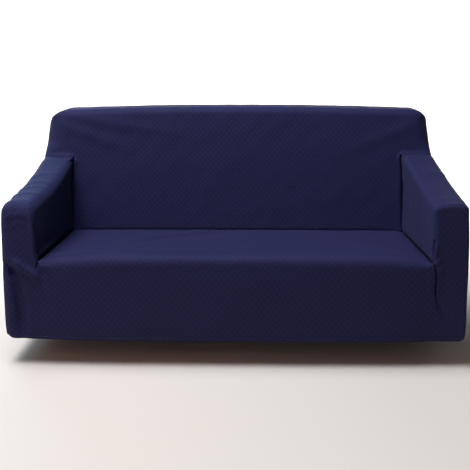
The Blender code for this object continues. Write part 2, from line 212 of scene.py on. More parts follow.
def body(points):
    x, y, z = points.T
    pull = hemPull(z)
    drawnIn = eased(within(z - sofa["seatHeight"], sofa["innerDrawnOver"]))
    drawnIn = drawnIn * (1 - eased(y / sofa["innerDrawnDepth"]))
    inner = seatHalf - np.abs(x) + bySide("innerDrawIn", x) * drawnIn
    side = np.abs(x) - halfWidthAt(x, y, z)
    bulge = sofa["frontBulge"] * (1 - towardsArm(x))
    leaning = np.maximum(z - armTop(x, y) + sofa["leanReach"], 0)
    softness = sofa["leanSoftness"]
    lean = bySide("frontLean", x) * (np.hypot(leaning, softness) - softness)
    front = pull - y - bulge + lean
    rear = y - sofa["depth"] + pull + sofa["rearBow"] * (x / halfWidth) ** 2

    nearCorner = eased(1 - inner / sofa["seatEdgeRadius"])
    nearTop = eased(1 - within(armTop(x, y) - z, sofa["topEdgeOver"]))
    nearInner = eased(1 + inner / sofa["innerEdgeReach"])
    edgeRadius = blend(bySide("frontEdgeRadius", x), bySide("innerEdgeRadius", x), nearInner)
    cornerRadius = blend(edgeRadius, bySide("frontTopRadius", x), nearTop)
    frontRadius = blend(sofa["seatEdgeRadius"], cornerRadius, nearCorner)
    armRadius = bySide("armEdgeRadius", x)
    above = eased((z - sofa["shoulderHeight"]) / sofa["shoulderReach"])
    sideRadius = armRadius + (bySide("backCornerRadius", x) - armRadius) * above

    arm = roundMax(z - armTop(x, y), inner, armRadius)
    base = roundMin(arm, z - seatTop(x, y), sofa["creviceRadius"])
    base = roundMax(base, front, frontRadius)
    back = roundMax(z - backTop(x), backFront(z) - y, sofa["backEdgeRadius"])
    atShoulder = eased(within(z - armTop(x, y), sofa["shoulderOver"]))
    whole = roundMin(base, back, blend(sofa["creviceRadius"], sofa["shoulderRadius"], atShoulder))
    whole = roundMax(whole, side, sideRadius)
    return roundMax(whole, rear, sofa["rearEdgeRadius"])


def outward(points, step=1e-4):
    slope = np.empty_like(points)
    for axis in range(3):
        offset = np.zeros(3)
        offset[axis] = step
        slope[:, axis] = (body(points + offset) - body(points - offset)) / (2 * step)
    return slope / np.linalg.norm(slope, axis=1, keepdims=True)


def drawnOn(points, rounds=12):
    for _ in range(rounds):
        points = points - body(points)[:, None] * outward(points)
    return points


# The lattice that all panels share. Its stations close up towards corners, where cloth turns.

weaveGrid = {
    "finest": 0.0026,
    "widest": 0.0076,
    "growth": 1.16,
    "frontDepth": 0.06,  # the stations close up here too, behind the seat's front edge
}


def stationsBetween(start, end):
    half = (end - start) / 2
    steps = [weaveGrid["finest"]]
    while sum(steps) < half:
        steps.append(min(steps[-1] * weaveGrid["growth"], weaveGrid["widest"]))
    reached = np.cumsum([0, *steps]) * (half / sum(steps))
    return np.concatenate([start + reached, (end - reached)[::-1][1:]])


def joined(*parts):
    return np.concatenate([parts[0], *[part[1:] for part in parts[1:]]])


armX = stationsBetween(-halfWidth, -seatHalf)
latticeX = joined(armX, stationsBetween(-seatHalf, seatHalf), -armX[::-1])
frontDepth = weaveGrid["frontDepth"]
seatY = joined(stationsBetween(0, frontDepth), stationsBetween(frontDepth, sofa["seatDepth"]))
latticeY = joined(seatY, stationsBetween(sofa["seatDepth"], sofa["depth"]))
skirtZ = stationsBetween(sofa["hemHeight"] + hem["rollRadius"], sofa["seatHeight"])
armZ = stationsBetween(sofa["seatHeight"], sofa["armHeight"])
backZ = stationsBetween(sofa["shoulderHeight"], sofa["height"])

armColumns = len(armX) - 1
columns = len(latticeX) - 1
rightArm = columns - armColumns
seatRows = len(seatY) - 1
rows = len(latticeY) - 1
hemLevel = hem["rollLevels"]
skirtLevel = hemLevel + len(skirtZ) - 1
armLevel = skirtLevel + len(armZ) - 1
topLevel = armLevel + len(backZ) - 1


def smoothThrough(table, at):
    # a cubic through the rows of a table, flat beyond both ends
    stops, values = np.array(table, float).T
    slopes = np.zeros(len(stops))
    slopes[1:-1] = (values[2:] - values[:-2]) / (stops[2:] - stops[:-2])
    at = np.clip(at, stops[0], stops[-1])
    n = np.clip(np.searchsorted(stops, at, side="right") - 1, 0, len(stops) - 2)
    span = stops[n + 1] - stops[n]
    t = (at - stops[n]) / span
    rise = eased(t) * (values[n + 1] - values[n])
    lean = t * (1 - t) * ((1 - t) * slopes[n] - t * slopes[n + 1]) * span
    return values[n] + rise + lean


def frontSeam(x, z):
    down = sofa["seatHeight"] - z
    left, right = (smoothThrough(side["seamPath"], down) for side in (leftSide, rightSide))
    return blend(left, right, np.clip((x + seatHalf) / (2 * seatHalf), 0, 1))


def hemLine(x, y):
    fromCorner = halfWidth - np.abs(x) + np.minimum(y, sofa["depth"] - y)
    lift = bySide("hemLift", x) * np.exp(-fromCorner / bySide("hemLiftReach", x))
    return sofa["hemHeight"] + hem["rollRadius"] + lift


def shareAlong(stations, index):
    place = stations[np.clip(index, 0, len(stations) - 1)]
    return (place - stations[0]) / (stations[-1] - stations[0])


def levelHeight(k, x, y):
    low, seat, arm = hemLine(x, y), seatTop(x, y), armTop(x, y)
    skirt = low + (seat - low) * shareAlong(skirtZ, k - hemLevel)
    side = seat + (arm - seat) * shareAlong(armZ, k - skirtLevel)
    back = arm + (sofa["height"] - arm) * shareAlong(backZ, k - armLevel)
    return np.where(k <= skirtLevel, skirt, np.where(k <= armLevel, side, back))


def blockPoints(corners):
    i, j, k = corners.T
    k = np.maximum(k, hemLevel)
    x, y = latticeX[i], latticeY[j]
    z = levelHeight(k, x, y)
    through = (y - sofa["seatDepth"]) / (sofa["depth"] - sofa["seatDepth"])
    leaning = backFront(z) * (1 - through) + sofa["depth"] * through
    y = np.where((j >= seatRows) & (k >= skirtLevel), leaning, y)
    inside = seatHalf + np.where((j == 0) & (k < skirtLevel), frontSeam(x, z), 0)
    alongArm = (np.abs(x) - seatHalf) / sofa["armWidth"]
    onArm = np.sign(x) * (inside + alongArm * (halfWidthAt(x, y, z) - inside))
    return np.stack([np.where(alongArm <= 0, x * inside / seatHalf, onArm), y, z], axis=1)


# Each panel is one unrolled grid of lattice corners, with the faces that are cut away left out
# and the row and column from which lengths along its cloth are measured.


def allKept(grid):
    return np.ones(np.array(grid.shape[:2]) - 1, bool)


def seatGrid():
    path = [(0, k) for k in range(skirtLevel + 1)] + [(j, skirtLevel) for j in range(1, seatRows + 1)]
    spread = range(armColumns, rightArm + 1)
    grid = np.array([[(i, j, k) for i in spread] for j, k in path])
    return grid, allKept(grid), (hemLevel, len(spread) // 2)


def insideBackGrid():
    faceLevels = range(skirtLevel, topLevel + 1)
    topRows = range(seatRows + 1, rows + 1)
    ends = list(topRows)
    grid = []
    for k in faceLevels:
        left = [(0, j, k) for j in reversed(ends)]
        middle = [(i, seatRows, k) for i in range(columns + 1)]
        right = [(columns, j, k) for j in ends]
        grid.append(left + middle + right)
    for j in topRows:
        left = [(0, j, topLevel)] * len(ends)
        middle = [(i, j, topLevel) for i in range(columns + 1)]
        right = [(columns, j, topLevel)] * len(ends)
        grid.append(left + middle + right)
    grid = np.array(grid)
    kept = allKept(grid)
    onFace, belowShoulder = topLevel - skirtLevel, armLevel - skirtLevel
    first, last = len(ends), len(ends) + columns
    kept[:belowShoulder, : first + armColumns] = False
    kept[:belowShoulder, first + rightArm :] = False
    kept[onFace:, :first] = False
    kept[onFace:, last:] = False
    return grid, kept, (onFace, first + columns // 2)


def outsideBackGrid():
    grid = np.array([[(i, rows, k) for i in range(columns, -1, -1)] for k in range(topLevel + 1)])
    return grid, allKept(grid), (hemLevel, columns // 2)


def armGrid(outer, inner):
    step = 1 if inner > outer else -1
    outside = [(outer, k) for k in range(armLevel + 1)]
    top = [(i, armLevel) for i in range(outer + step, inner + step, step)]
    inside = [(inner, k) for k in range(armLevel - 1, skirtLevel - 1, -1)]
    path = (outside + top + inside)[::step]
    grid = np.array([[(i, j, k) for i, k in path] for j in range(rows + 1)])
    kept = allKept(grid)
    if step > 0:
        kept[seatRows:, armLevel:] = False
        base = armLevel
    else:
        kept[seatRows:, : len(path) - 1 - armLevel] = False
        base = len(path) - 1 - armLevel
    return grid, kept, (0, base)


def armFrontGrid(first, last):
    grid = np.array([[(i, 0, k) for i in range(first, last + 1)] for k in range(armLevel + 1)])
    return grid, allKept(grid), (hemLevel, 0)


panelGrids = {
    "seat_and_skirt": seatGrid(),
    "inside_back": insideBackGrid(),
    "outside_back": outsideBackGrid(),
    "left_arm": armGrid(0, armColumns),
    "right_arm": armGrid(columns, rightArm),
    "left_arm_front": armFrontGrid(0, armColumns),
    "right_arm_front": armFrontGrid(rightArm, columns),
}

# Creases where the cloth is pushed into the sofa's crevices

tucks = {
    "depth": 0.026,
    "lip": 0.009,  # how far from the crevice the cloth starts to dip
    "armLip": (0.016, 0.030),  # the same on the seat beside the left and the right arm
    "innerLip": 0.014,
    "sharpness": 1.6,
    "backDepth": 0.010,
    "cornerShare": (0.22, 0.55),  # left and right: how much of the depth a corner keeps
    "lead": 0.070,
    "pinch": ((0, 0.016), (0.012, 0.009), (0.024, 0)),  # down the front, by depth
    "crease": ((0, 0.010), (0.02, 0.011), (0.11, 0.010), (0.15, 0.005), (0.20, 0)),
    "creaseLip": 0.0050,
}


def dip(gap, lip):
    return np.clip(1 - gap / lip, 0, 1) ** tucks["sharpness"]


def tuckOffsets(corners, sharp):
    i, j, k = corners.T
    x, y, z = sharp.T
    offset = np.zeros_like(sharp)
    onSeat = (k == skirtLevel) & (i >= armColumns) & (i <= rightArm) & (j <= seatRows)
    onBack = (j == seatRows) & (k >= skirtLevel)
    onBackFace = onBack & (k > skirtLevel)
    innerSide = ((i == armColumns) | (i == rightArm)) & (j <= seatRows)
    innerSide &= (k >= skirtLevel) & (k <= armLevel)
    toArm = np.maximum(seatHalf - np.abs(x), 0)
    toBack = np.maximum(sofa["seatDepth"] - y, 0)
    aboveSeat = np.maximum(z - seatTop(x, y), 0)

    def easedIn(fromCorner, start=tucks["cornerShare"][0]):
        return start + (1 - start) * eased(fromCorner / tucks["lead"])

    def push(chosen, gap, depth, direction, lip=tucks["lip"]):
        way = np.array(direction, float)
        amount = np.where(chosen, depth * dip(gap, lip), 0)
        return amount[:, None] * way / np.linalg.norm(way)

    deep = tucks["depth"]
    overSeat = (i >= armColumns) & (i <= rightArm)
    # seat against back
    behind = tucks["backDepth"] * easedIn(toArm)
    offset += push(onSeat, toBack, behind, (0, 1, -1))
    offset += push(onBackFace & overSeat & (k <= armLevel), aboveSeat, behind, (0, 1, -1))
    for which, (side, column) in enumerate(((-1, armColumns), (1, rightArm))):
        ours = np.sign(x) == side
        # seat against arm
        along = easedIn(np.minimum(y, sofa["seatDepth"] - y), tucks["cornerShare"][which])
        offset += push(onSeat & ours, toArm, deep * along, (side, 0, -1), tucks["armLip"][which])
        onInner = innerSide & (i == column)
        risen = onInner & (k > skirtLevel)
        offset += push(risen, aboveSeat, deep * along, (side, 0, -1), tucks["innerLip"])
        # arm against back
        rise = easedIn(np.minimum(aboveSeat, np.maximum(sofa["armHeight"] - z, 0)))
        offset += push(onInner, toBack, deep * rise, (side, 1, 0))
        besideArm = onBackFace & overSeat & ours & (k <= armLevel)
        offset += push(besideArm, toArm, deep * rise, (side, 1, 0))
    # down the front, beside the arm fronts
    down = sofa["seatHeight"] - z
    seamX = seatHalf + frontSeam(x, z)
    fromSeam = np.abs(np.abs(x) - seamX)
    left = (j == 0) & (k <= skirtLevel) & (x < 0)
    right = (j == 0) & (k <= skirtLevel) & (x > 0)
    pinch, crease = (smoothThrough(tucks[name], down) for name in ("pinch", "crease"))
    offset += push(left, fromSeam, pinch, (0, 1, 0), tucks["creaseLip"])
    offset += push(right, fromSeam, crease, (0, 1, 0), tucks["creaseLip"])
    return offset


# Folds laid on the cloth one by one: the line each one follows, its half width, its height (below
# zero for a trough), the share of its length over which it fades in and out, and how square its
# cross section is (2 for a soft swell, more for a flat bed with steep banks).

foldColumns = ("name", "halfWidth", "height", "fadeIn", "fadeOut", "square", "line")
frontFolds = (  # down the front: each line is given by x and z
    ("post trough", 0.02, -0.019, 0.12, 0.3, 3, (
        (-0.872, 0.414), (-0.858, 0.383), (-0.838, 0.34), (-0.826, 0.28), (-0.821, 0.2), (-0.814, 0.105),
    )),
    ("post edge", 0.01, 0.001, 0.2, 0.2, 2, ((-0.868, 0.36), (-0.863, 0.27), (-0.857, 0.13))),
    ("pull band", 0.013, 0.015, 0.25, 0.25, 2, (
        (-0.85, 0.446), (-0.838, 0.43), (-0.811, 0.405), (-0.783, 0.386), (-0.765, 0.374), (-0.752, 0.353),
        (-0.742, 0.33),
    )),
    ("seat lip by the pinch", 0.008, 0.004, 0.3, 0.4, 2, ((-0.744, 0.412), (-0.729, 0.404), (-0.7, 0.398))),
    ("hollow by the pinch", 0.007, -0.003, 0.3, 0.4, 2, (
        (-0.745, 0.378), (-0.734, 0.376), (-0.716, 0.378),
    )),
    ("arm front arc", 0.005, -0.003, 0.2, 0.3, 2, (
        (-0.86, 0.562), (-0.847, 0.582), (-0.816, 0.59), (-0.793, 0.582), (-0.768, 0.56),
    )),
    ("arm front arc bank", 0.008, 0.0012, 0.3, 0.3, 2, (
        (-0.848, 0.596), (-0.816, 0.606), (-0.789, 0.604), (-0.77, 0.59),
    )),
    ("arm front low arc", 0.006, 0.0015, 0.3, 0.3, 2, ((-0.85, 0.556), (-0.816, 0.572), (-0.785, 0.562))),
    ("right leaf line", 0.0038, -0.008, 0.2, 0.2, 2, ((0.756, 0.515), (0.751, 0.485), (0.75, 0.45))),
    ("right leaf", 0.006, 0.006, 0.3, 0.3, 2, ((0.762, 0.504), (0.767, 0.474), (0.763, 0.447))),
    ("pull by the leaf", 0.005, 0.005, 0.3, 0.3, 2, ((0.788, 0.444), (0.776, 0.431), (0.764, 0.417))),
    ("swell right of the crease", 0.009, 0.002, 0.3, 0.3, 2, (
        (0.778, 0.405), (0.787, 0.396), (0.8, 0.392),
    )),
    ("bed right of the crease", 0.022, -0.004, 0.3, 0.4, 2, ((0.797, 0.39), (0.8, 0.33), (0.81, 0.26))),
    ("crease tail", 0.006, -0.004, 0.2, 0.5, 2, ((0.775, 0.262), (0.788, 0.233), (0.815, 0.203))),
    ("fold at the crease's foot", 0.008, 0.004, 0.3, 0.4, 2, (
        (0.752, 0.262), (0.758, 0.245), (0.768, 0.229), (0.795, 0.195),
    )),
    ("skirt rim", 0.01, 0.003, 0.3, 0.5, 2, ((0.742, 0.395), (0.748, 0.33), (0.75, 0.27))),
)
otherFolds = (
    ("hollow under the band", 0.016, -0.014, 0.3, 0.3, 2, (
        (-0.892, 0.006, 0.424), (-0.881, 0, 0.402), (-0.866, 0, 0.38), (-0.848, 0, 0.358),
    )),
    ("left arm ridge 1", 0.011, 0.0025, 0.3, 0.4, 2, (
        (-0.89, 0.035, 0.63), (-0.83, 0.056, 0.64), (-0.765, 0.045, 0.63),
    )),
    ("left arm ridge 2", 0.013, 0.0035, 0.3, 0.4, 2, (
        (-0.89, 0.13, 0.63), (-0.83, 0.155, 0.64), (-0.765, 0.145, 0.64),
    )),
    ("left arm ridge 3", 0.013, 0.0035, 0.3, 0.4, 2, (
        (-0.89, 0.21, 0.64), (-0.83, 0.245, 0.65), (-0.765, 0.24, 0.65),
    )),
    ("left arm ridge 4", 0.013, 0.003, 0.3, 0.4, 2, (
        (-0.885, 0.27, 0.65), (-0.83, 0.305, 0.67), (-0.765, 0.3, 0.66),
    )),
    ("left arm ridge 5", 0.018, 0.003, 0.3, 0.4, 2, (
        (-0.88, 0.37, 0.67), (-0.83, 0.4, 0.69), (-0.765, 0.4, 0.69),
    )),
    ("left inner line", 0.006, -0.011, 0.15, 0.2, 2, (
        (-0.752, 0.008, 0.572), (-0.752, 0.021, 0.534), (-0.752, 0.035, 0.498), (-0.752, 0.042, 0.456),
        (-0.752, 0.046, 0.425),
    )),
    ("left inner lip", 0.007, 0.007, 0.2, 0.5, 2, (
        (-0.752, 0.028, 0.566), (-0.752, 0.042, 0.544), (-0.752, 0.051, 0.526), (-0.752, 0.061, 0.491),
        (-0.752, 0.067, 0.449),
    )),
    ("right arm ridge", 0.026, 0.003, 0.3, 0.4, 2, (
        (0.895, 0.36, 0.69), (0.83, 0.38, 0.69), (0.765, 0.4, 0.68),
    )),
    ("right arm tip", 0.016, 0.0015, 0.3, 0.4, 2, (
        (0.89, 0.05, 0.64), (0.83, 0.075, 0.645), (0.77, 0.06, 0.64),
    )),
    ("seat ridge long", 0.016, 0.011, 0.3, 0.4, 2, (
        (-0.66, 0.09, 0.42), (-0.34, 0.32, 0.42), (0.02, 0.5, 0.42),
    )),
    ("seat ridge short", 0.015, 0.01, 0.3, 0.4, 2, (
        (-0.5, 0.2, 0.42), (-0.22, 0.39, 0.42), (0.16, 0.53, 0.42),
    )),
    ("seat ridge low", 0.012, 0.006, 0.4, 0.5, 2, (
        (-0.4, 0.3, 0.42), (-0.2, 0.42, 0.42), (0.04, 0.44, 0.42),
    )),
    ("seat ridge right", 0.026, 0.006, 0.3, 0.5, 2, (
        (0.7, 0.1, 0.42), (0.46, 0.24, 0.42), (0.2, 0.36, 0.42),
    )),
    ("seat edge pull left", 0.012, 0.008, 0.2, 0.5, 2, (
        (-0.74, 0.065, 0.42), (-0.63, 0.085, 0.42), (-0.46, 0.11, 0.42),
    )),
    ("seat edge pull right", 0.016, 0.0025, 0.2, 0.5, 2, (
        (0.72, 0.08, 0.41), (0.55, 0.1, 0.42), (0.37, 0.1, 0.42),
    )),
    ("seat edge droop left", 0.045, -0.002, 0.3, 0.5, 2, (
        (-0.745, 0.02, 0.42), (-0.67, 0.015, 0.42), (-0.54, 0.01, 0.42),
    )),
    ("seat edge sag", 0.04, -0.003, 0.3, 0.3, 2, ((-0.3, 0.01, 0.41), (0, 0.01, 0.41), (0.34, 0.01, 0.41))),
    ("back pull left", 0.028, 0.0035, 0.2, 0.6, 2, (
        (-0.86, 0.62, 0.9), (-0.7, 0.62, 0.84), (-0.45, 0.61, 0.76),
    )),
    ("back pull left 2", 0.026, 0.0035, 0.2, 0.6, 2, (
        (-0.8, 0.63, 0.93), (-0.55, 0.63, 0.88), (-0.2, 0.62, 0.84),
    )),
    ("back pull right", 0.03, 0.0035, 0.2, 0.6, 2, (
        (0.86, 0.62, 0.9), (0.68, 0.62, 0.83), (0.42, 0.6, 0.72),
    )),
    ("outside back pull left", 0.04, 0.003, 0.2, 0.6, 2, (
        (-0.86, 0.84, 0.9), (-0.6, 0.84, 0.72), (-0.3, 0.84, 0.58),
    )),
    ("outside back pull right", 0.036, 0.003, 0.2, 0.6, 2, (
        (0.86, 0.84, 0.91), (0.62, 0.84, 0.76), (0.3, 0.84, 0.66),
    )),
    ("outside back hem pull", 0.034, 0.003, 0.2, 0.6, 2, (
        (-0.84, 0.84, 0.13), (-0.6, 0.84, 0.22), (-0.34, 0.84, 0.26),
    )),
    ("outside back hem pull 2", 0.034, 0.003, 0.2, 0.6, 2, (
        (0.84, 0.84, 0.13), (0.62, 0.84, 0.24), (0.36, 0.84, 0.3),
    )),
    ("left side pull", 0.03, 0.003, 0.2, 0.6, 2, (
        (-0.89, 0.8, 0.16), (-0.89, 0.6, 0.28), (-0.89, 0.38, 0.36),
    )),
    ("left side pull high", 0.028, 0.003, 0.2, 0.6, 2, (
        (-0.89, 0.58, 0.68), (-0.89, 0.46, 0.56), (-0.89, 0.3, 0.5),
    )),
    ("right side pull", 0.03, 0.003, 0.2, 0.6, 2, (
        (0.89, 0.8, 0.15), (0.89, 0.58, 0.24), (0.89, 0.36, 0.3),
    )),
    ("right side pull high", 0.028, 0.003, 0.2, 0.6, 2, (
        (0.89, 0.56, 0.69), (0.89, 0.42, 0.56), (0.89, 0.24, 0.48),
    )),
)
folds = [(*row[:-1], [(x, 0, z) for x, z in row[-1]]) for row in frontFolds] + list(otherFolds)


def runOf(points):
    return np.concatenate([[0], np.cumsum(np.linalg.norm(np.diff(points, axis=0), axis=1))])


def smoothLine(stops, pitch=0.003):
    stops = np.array(stops, float)
    run = runOf(stops)
    at = np.linspace(0, run[-1], 2 + int(run[-1] / pitch))
    tables = (np.stack([run, axis], axis=1) for axis in stops.T)
    return np.stack([smoothThrough(table, at) for table in tables], axis=1)


def foldLift(points):
    lift = np.zeros(len(points))
    for row in folds:
        fold = dict(zip(foldColumns, row))
        line = drawnOn(smoothLine(fold["line"]))
        margin = 3 * fold["halfWidth"]  # the fold has died away by here
        low, high = line.min(axis=0) - margin, line.max(axis=0) + margin
        near = ((points > low) & (points < high)).all(axis=1)
        gaps = np.linalg.norm(points[near][:, None] - line[None], axis=2)
        along = gaps.argmin(axis=1) / (len(line) - 1)
        fade = eased(along / fold["fadeIn"]) * eased((1 - along) / fold["fadeOut"])
        bump = np.exp(-((gaps.min(axis=1) / fold["halfWidth"]) ** fold["square"]))
        lift[near] += fold["height"] * bump * fade
    return lift


# The slight waves that loose cloth never loses
unevenness = {"height": 0.0007, "shortest": 0.07, "longest": 0.26, "waves": 26, "seed": 7}


def looseness(points):
    rng = np.random.default_rng(unevenness["seed"])
    total = np.zeros(len(points))
    for _ in range(unevenness["waves"]):
        way = rng.normal(size=3)
        way /= np.linalg.norm(way)
        length = rng.uniform(unevenness["shortest"], unevenness["longest"])
        total += np.sin(points @ way * 2 * math.pi / length + rng.uniform(0, 2 * math.pi))
    return unevenness["height"] * total / math.sqrt(unevenness["waves"])


# Seams: where two panels meet, the stitching draws the cloth down, with a soft lip beside it.

seam = {
    "grooveDepth": 0.0008,
    "grooveWidth": 0.0028,
    "lipHeight": 0.0004,
    "lipAt": 0.0075,
    "lipWidth": 0.004,
    "pulledFlat": 0.04,  # how much further off the stretched front seams look than they are
    "pulledSmooth": 0.06,  # the share of that for the seams around the arm fronts
    "pulledBeside": (0.02, 0.04),  # distances from a seam over which it ends
    "pulledDown": ((0, 0.03), (0.12, 0.18)),  # left and right: depths over which it starts
    "armMargin": 0.02,
    "frontDepth": 0.03,
}


def seamLift(gap):
    groove = -seam["grooveDepth"] * np.exp(-((gap / seam["grooveWidth"]) ** 2))
    return groove + seam["lipHeight"] * np.exp(-(((gap - seam["lipAt"]) / seam["lipWidth"]) ** 2))


def pulledFlat(points):
    # the seams down the front lie flat and hardly show, but for the top of the right one
    x, y, z = points.T
    down = sofa["seatHeight"] - z
    inFront = y < seam["frontDepth"]
    gap = np.abs(np.abs(x) - seatHalf - frontSeam(x, z))
    beside = 1 - eased(within(gap, seam["pulledBeside"]))
    left, right = (eased(within(down, limits)) for limits in seam["pulledDown"])
    aroundArm = inFront & (np.abs(x) > seatHalf - seam["armMargin"]) & (down < 0)
    others = np.where(aroundArm, seam["pulledSmooth"], 0)
    return np.where(inFront & (down > 0), beside * np.where(x < 0, left, right), others)


def cornerCode(grid):
    return (grid[..., 0] * (rows + 1) + grid[..., 1]) * (topLevel + 1) + grid[..., 2]


def usedCorners(kept):
    used = np.zeros(np.array(kept.shape) + 1, bool)
    for down in (0, 1):
        for right in (0, 1):
            used[down : down + kept.shape[0], right : right + kept.shape[1]] |= kept
    return used


def runAlong(places, base, axis):
    steps = np.linalg.norm(np.diff(places, axis=axis), axis=2)
    start = np.zeros_like(np.take(steps, [0], axis=axis))
    run = np.concatenate([start, np.cumsum(steps, axis=axis)], axis=axis)
    return run - np.take(run, [base], axis=axis)


def gapToEdge(kept, runs):
    # smallest distance along a row or a column to where the panel's faces end
    shape = np.array(kept.shape) + 1
    padded = np.zeros(np.array(kept.shape) + 2, bool)
    padded[1:-1, 1:-1] = kept
    around = [padded[a : a + shape[0], b : b + shape[1]] for a in (0, 1) for b in (0, 1)]
    edge = np.any(around, axis=0) & ~np.all(around, axis=0)
    gap = np.full(shape, np.inf)
    for axis, run in enumerate(runs):
        for backwards in (False, True):
            line = np.moveaxis(run, axis, 0)
            stops = np.moveaxis(edge, axis, 0)
            result = np.moveaxis(gap, axis, 0)
            last = np.full(line.shape[1], np.inf)
            order = range(len(line) - 1, -1, -1) if backwards else range(len(line))
            for at in order:
                last = np.where(stops[at], line[at], last)
                result[at] = np.minimum(result[at], np.abs(line[at] - last))
    return gap, edge


print("working out", len(folds), "folds on a lattice of", columns, "x", rows, "x", topLevel)

panelCodes = {name: cornerCode(grid) for name, (grid, kept, base) in panelGrids.items()}
usedGrids = {name: usedCorners(kept) for name, (grid, kept, base) in panelGrids.items()}
allCodes = np.unique(np.concatenate([panelCodes[name][usedGrids[name]] for name in panelGrids]))
allCorners = np.stack(np.unravel_index(allCodes, (columns + 1, rows + 1, topLevel + 1)), axis=1)

sharpPoints = blockPoints(allCorners)
smoothPoints = drawnOn(sharpPoints)
smoothWays = outward(smoothPoints)

# Distances to the seams, taken on the smooth body so that both panels of a seam agree on them
seamGap = np.full(len(allCodes), np.inf)
panelRuns = {}
for name, (grid, kept, base) in panelGrids.items():
    index = np.searchsorted(allCodes, panelCodes[name])
    index = np.clip(index, 0, len(allCodes) - 1)
    places = smoothPoints[index]
    runs = [runAlong(places, base[axis], axis) for axis in (0, 1)]
    gap, edge = gapToEdge(kept, runs)
    sewn = usedGrids[name] & ~(edge & (grid[..., 2] == 0))
    np.minimum.at(seamGap, index[sewn], gap[sewn])
    panelRuns[name] = (index, runs)
hemGap = smoothPoints[:, 2] - hemLine(*smoothPoints.T[:2])
seamGap = np.where(allCorners[:, 2] <= hemLevel, np.inf, seamGap)
seamGap = seamGap + seam["pulledFlat"] * pulledFlat(smoothPoints)

lift = foldLift(smoothPoints) + looseness(smoothPoints) + seamLift(seamGap)
finalPoints = smoothPoints + lift[:, None] * smoothWays + tuckOffsets(allCorners, sharpPoints)

# The edge rolls under: the levels below the hem turn about its radius
rolled = allCorners[:, 2] < hemLevel
turn = math.radians(hem["rollTurn"]) * (hemLevel - allCorners[rolled, 2]) / hemLevel
flat = smoothWays[rolled] * (1, 1, 0)
flat /= np.linalg.norm(flat, axis=1, keepdims=True)
finalPoints[rolled] -= hem["rollRadius"] * (1 - np.cos(turn))[:, None] * flat
finalPoints[rolled, 2] -= hem["rollRadius"] * np.sin(turn)
finalPoints += sofaToFrame
print("cloth laid:", len(finalPoints), "points")


# Cloth of each panel

panelMesh = {
    "bendReach": 0.012,  # how far around a point its bend is felt
    "fullBend": 0.16,  # the share of that reach that the body falls by over an edge
    "farFromSeam": 0.1,
    "hemGapKept": (-0.01, 0.2),
}


def faceNormals(points, quads):
    a, b, c, d = (points[quads[:, n]] for n in range(4))
    return np.cross(c - a, d - b)


def pointNormals(points, quads):
    normals = np.zeros_like(points)
    faces = faceNormals(points, quads)
    for n in range(4):
        np.add.at(normals, quads[:, n], faces)
    return normals / np.maximum(np.linalg.norm(normals, axis=1, keepdims=True), 1e-12)


def atFaceCorners(grid, kept):
    corners = (grid[:-1, :-1], grid[:-1, 1:], grid[1:, 1:], grid[1:, :-1])
    return np.stack([corner[kept] for corner in corners], axis=1)


def placed(name, data):
    made = bpy.data.objects.new(name, data)
    bpy.context.scene.collection.objects.link(made)
    return made


def meshFrom(name, points, quads, uvs, attributes, material):
    mesh = bpy.data.meshes.new(name)
    mesh.vertices.add(len(points))
    mesh.vertices.foreach_set("co", points.astype(np.float32).ravel())
    mesh.loops.add(quads.size)
    mesh.loops.foreach_set("vertex_index", quads.astype(np.int32).ravel())
    mesh.polygons.add(len(quads))
    mesh.polygons.foreach_set("loop_start", np.arange(0, quads.size, 4, dtype=np.int32))
    mesh.update(calc_edges=True)
    layer = mesh.uv_layers.new(name="clothRun")
    layer.data.foreach_set("uv", uvs.astype(np.float32).ravel())
    for label, values in attributes.items():
        attribute = mesh.attributes.new(label, "FLOAT", "POINT")
        attribute.data.foreach_set("value", values.astype(np.float32))
    mesh.materials.append(material)
    mesh.shade_smooth()
    mesh.validate()
    return placed(name, mesh)


def makePanel(name, material):
    kept = panelGrids[name][1]
    index, (down, sideways) = panelRuns[name]
    quads = atFaceCorners(index, kept)
    wanted = np.unique(quads)
    places = finalPoints[wanted]
    quads = np.searchsorted(wanted, quads)
    normals = pointNormals(places, quads)
    uvs = atFaceCorners(np.stack([sideways, down], axis=-1), kept)

    levels = allCorners[wanted, 2]
    aboveHem = hemGap[wanted]
    band = eased((hem["bandHeight"] - aboveHem) / hem["bandFade"] + 1)
    band = np.where(levels < skirtLevel, band, 0)
    thickness = clothThickness + (hem["bandThickness"] - clothThickness) * band
    inner = places - normals * thickness[:, None]

    edges = np.concatenate([quads[:, [n, (n + 1) % 4]] for n in range(4)])
    edgeUvs = np.concatenate([uvs[:, [n, (n + 1) % 4]] for n in range(4)])
    low, high = edges.min(axis=1), edges.max(axis=1)
    inverse, counts = np.unique(low * len(places) + high, return_inverse=True, return_counts=True)[1:]
    border = counts[inverse] == 1
    count = len(places)
    start, end = edges[border].T
    rim = np.stack([end, start, start + count, end + count], axis=1)
    startUv, endUv = edgeUvs[border, 0], edgeUvs[border, 1]
    rimUvs = np.stack([endUv, startUv, startUv, endUv], axis=1)

    points = np.concatenate([places, inner])
    allQuads = np.concatenate([quads, quads[:, ::-1] + count, rim])
    allUvs = np.concatenate([uvs, uvs[:, ::-1], rimUvs])
    nearest, farthest = panelMesh["hemGapKept"]
    values = {
        "seamGap": np.minimum(seamGap[wanted], panelMesh["farFromSeam"]),
        "hemGap": np.where(levels < skirtLevel, np.clip(aboveHem, nearest, farthest), farthest),
        "stretch": np.clip(bendOf(smoothPoints[wanted], smoothWays[wanted]), 0, 1),
    }
    attributes = {label: np.tile(value, 2) for label, value in values.items()}
    return meshFrom(name + "_cloth", points, allQuads, allUvs, attributes, material)


